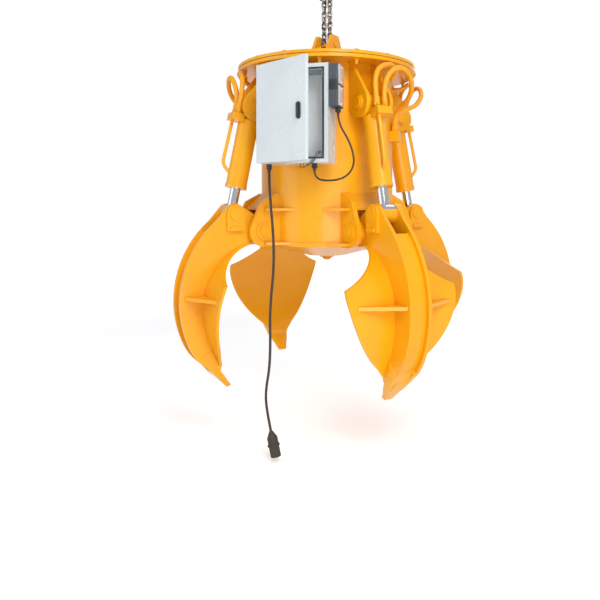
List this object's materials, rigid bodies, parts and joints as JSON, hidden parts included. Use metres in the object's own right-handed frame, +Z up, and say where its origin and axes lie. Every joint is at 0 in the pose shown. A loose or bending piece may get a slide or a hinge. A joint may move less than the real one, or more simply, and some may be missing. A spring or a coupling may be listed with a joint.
{
  "type": "orange-peel grab bucket",
  "caption": "Electro-hydraulic grab on a chain: a drum with pump, a cylinder to each curved jaw, hoses, control box with a door, and a cable.",
  "frame": {"origin": "centre of the suspension eye's bore", "axes": "+Z up along the chain; -Y out of the control box's front; +X to the right seen from the box's front. The jaws stand at 45 degrees to X and Y."},
  "size_m": [1.5636, 1.5883, 2.7146],
  "materials": {
    "yellow_paint": "satin",
    "worn_steel": "satin",
    "galvanised_steel": "matte",
    "chrome_rod": "polished",
    "grey_paint": "satin",
    "zinc_plate": "satin",
    "black_rubber": "matte",
    "dark_plastic": "matte",
    "light_plastic": "matte",
    "yellow_hose": "satin"
  },
  "bodies": {
    "suspension": {"suspension_eye": "worn_steel", "chain_links": "galvanised_steel"},
    "head": {"lifting_lugs": "yellow_paint", "top_cover": "yellow_paint", "cover_gasket": "black_rubber", "flange_bolts": "zinc_plate", "drum_shell": "yellow_paint", "bottom_cone": "yellow_paint", "drain_plug": "zinc_plate", "power_pack": "yellow_paint", "upper_brackets": "yellow_paint", "lower_brackets": "yellow_paint", "bracket_pins": "zinc_plate", "hose_manifold": "yellow_paint", "hose_lf": "yellow_hose", "hose_rf": "yellow_hose", "hose_rb": "yellow_hose", "hose_lb": "yellow_hose", "control_box": "grey_paint", "box_mounts": "yellow_paint", "mounting_plate": "light_plastic", "box_seal": "black_rubber", "door_hinges": "zinc_plate", "connector_base": "dark_plastic", "connector_hood": "light_plastic", "cable_glands": "dark_plastic", "connector_lead": "black_rubber", "supply_cable": "black_rubber", "cable_plug": "black_rubber"},
    "door": {"box_door": "grey_paint", "door_lock": "dark_plastic"},
    "lock_handle": {"lock_lever": "dark_plastic"},
    "jaw_lf_body": {"jaw_shell_lf": "yellow_paint", "jaw_spine_lf": "yellow_paint", "jaw_tooth_lf": "yellow_paint", "rod_pin_lf": "yellow_paint"},
    "barrel_lf_body": {"barrel_lf": "yellow_paint", "port_block_lf": "yellow_paint"},
    "rod_lf_body": {"rod_lf": "chrome_rod"},
    "jaw_rf_body": {"jaw_shell_rf": "yellow_paint", "jaw_spine_rf": "yellow_paint", "jaw_tooth_rf": "yellow_paint", "rod_pin_rf": "yellow_paint"},
    "barrel_rf_body": {"barrel_rf": "yellow_paint", "port_block_rf": "yellow_paint"},
    "rod_rf_body": {"rod_rf": "chrome_rod"},
    "jaw_rb_body": {"jaw_shell_rb": "yellow_paint", "jaw_spine_rb": "yellow_paint", "jaw_tooth_rb": "yellow_paint", "rod_pin_rb": "yellow_paint"},
    "barrel_rb_body": {"barrel_rb": "yellow_paint", "port_block_rb": "yellow_paint"},
    "rod_rb_body": {"rod_rb": "chrome_rod"},
    "jaw_lb_body": {"jaw_shell_lb": "yellow_paint", "jaw_spine_lb": "yellow_paint", "jaw_tooth_lb": "yellow_paint", "rod_pin_lb": "yellow_paint"},
    "barrel_lb_body": {"barrel_lb": "yellow_paint", "port_block_lb": "yellow_paint"},
    "rod_lb_body": {"rod_lb": "chrome_rod"}
  },
  "joints": [
    {"name": "lug_swing", "type": "hinge", "parent": "suspension", "child": "head", "pos_m": [0, 0, -0.406], "axis": [0.9613, -0.2756, 0], "range_deg": [-15, 15]},
    {"name": "jaw_lf_hinge", "type": "hinge", "parent": "head", "child": "jaw_lf_body", "pos_m": [-0.32527, -0.32527, -1.508], "axis": [0.7071, -0.7071, 0], "range_deg": [-6, 40]},
    {"name": "cylinder_lf_hinge", "type": "hinge", "parent": "head", "child": "barrel_lf_body", "pos_m": [-0.34507, -0.34507, -0.823], "axis": [0.7071, -0.7071, 0], "range_deg": [-1.2, 1.2]},
    {"name": "rod_lf_slide", "type": "slide", "parent": "barrel_lf_body", "child": "rod_lf_body", "axis": [-0.1439, -0.1439, -0.9791], "range_m": [-0.0195, 0.1235]},
    {"name": "jaw_rf_hinge", "type": "hinge", "parent": "head", "child": "jaw_rf_body", "pos_m": [0.32527, -0.32527, -1.508], "axis": [0.7071, 0.7071, 0], "range_deg": [-6, 40]},
    {"name": "cylinder_rf_hinge", "type": "hinge", "parent": "head", "child": "barrel_rf_body", "pos_m": [0.34507, -0.34507, -0.823], "axis": [0.7071, 0.7071, 0], "range_deg": [-1.2, 1.2]},
    {"name": "rod_rf_slide", "type": "slide", "parent": "barrel_rf_body", "child": "rod_rf_body", "axis": [0.1439, -0.1439, -0.9791], "range_m": [-0.0195, 0.1235]},
    {"name": "jaw_rb_hinge", "type": "hinge", "parent": "head", "child": "jaw_rb_body", "pos_m": [0.32527, 0.32527, -1.508], "axis": [-0.7071, 0.7071, 0], "range_deg": [-6, 40]},
    {"name": "cylinder_rb_hinge", "type": "hinge", "parent": "head", "child": "barrel_rb_body", "pos_m": [0.34507, 0.34507, -0.823], "axis": [-0.7071, 0.7071, 0], "range_deg": [-1.2, 1.2]},
    {"name": "rod_rb_slide", "type": "slide", "parent": "barrel_rb_body", "child": "rod_rb_body", "axis": [0.1439, 0.1439, -0.9791], "range_m": [-0.0195, 0.1235]},
    {"name": "jaw_lb_hinge", "type": "hinge", "parent": "head", "child": "jaw_lb_body", "pos_m": [-0.32527, 0.32527, -1.508], "axis": [-0.7071, -0.7071, 0], "range_deg": [-6, 40]},
    {"name": "cylinder_lb_hinge", "type": "hinge", "parent": "head", "child": "barrel_lb_body", "pos_m": [-0.34507, 0.34507, -0.823], "axis": [-0.7071, -0.7071, 0], "range_deg": [-1.2, 1.2]},
    {"name": "rod_lb_slide", "type": "slide", "parent": "barrel_lb_body", "child": "rod_lb_body", "axis": [-0.1439, 0.1439, -0.9791], "range_m": [-0.0195, 0.1235]},
    {"name": "box_door_hinge", "type": "hinge", "parent": "head", "child": "door", "pos_m": [-0.1933, -0.61, -0.9], "axis": [0, 0, 1], "range_deg": [-90, 29]},
    {"name": "lock_turn", "type": "hinge", "parent": "door", "child": "lock_handle", "pos_m": [0.07861, -0.79045, -0.913], "axis": [-0.4848, -0.8746, 0], "range_deg": [0, 90]}
  ],
  "couplings": [
    {"joint": "cylinder_lf_hinge", "follows": "jaw_lf_hinge", "ratio": -0.021},
    {"joint": "rod_lf_slide", "follows": "jaw_lf_hinge", "m_per_rad": 0.174},
    {"joint": "cylinder_rf_hinge", "follows": "jaw_rf_hinge", "ratio": -0.021},
    {"joint": "rod_rf_slide", "follows": "jaw_rf_hinge", "m_per_rad": 0.174},
    {"joint": "cylinder_rb_hinge", "follows": "jaw_rb_hinge", "ratio": -0.021},
    {"joint": "rod_rb_slide", "follows": "jaw_rb_hinge", "m_per_rad": 0.174},
    {"joint": "cylinder_lb_hinge", "follows": "jaw_lb_hinge", "ratio": -0.021},
    {"joint": "rod_lb_slide", "follows": "jaw_lb_hinge", "m_per_rad": 0.174}
  ]
}
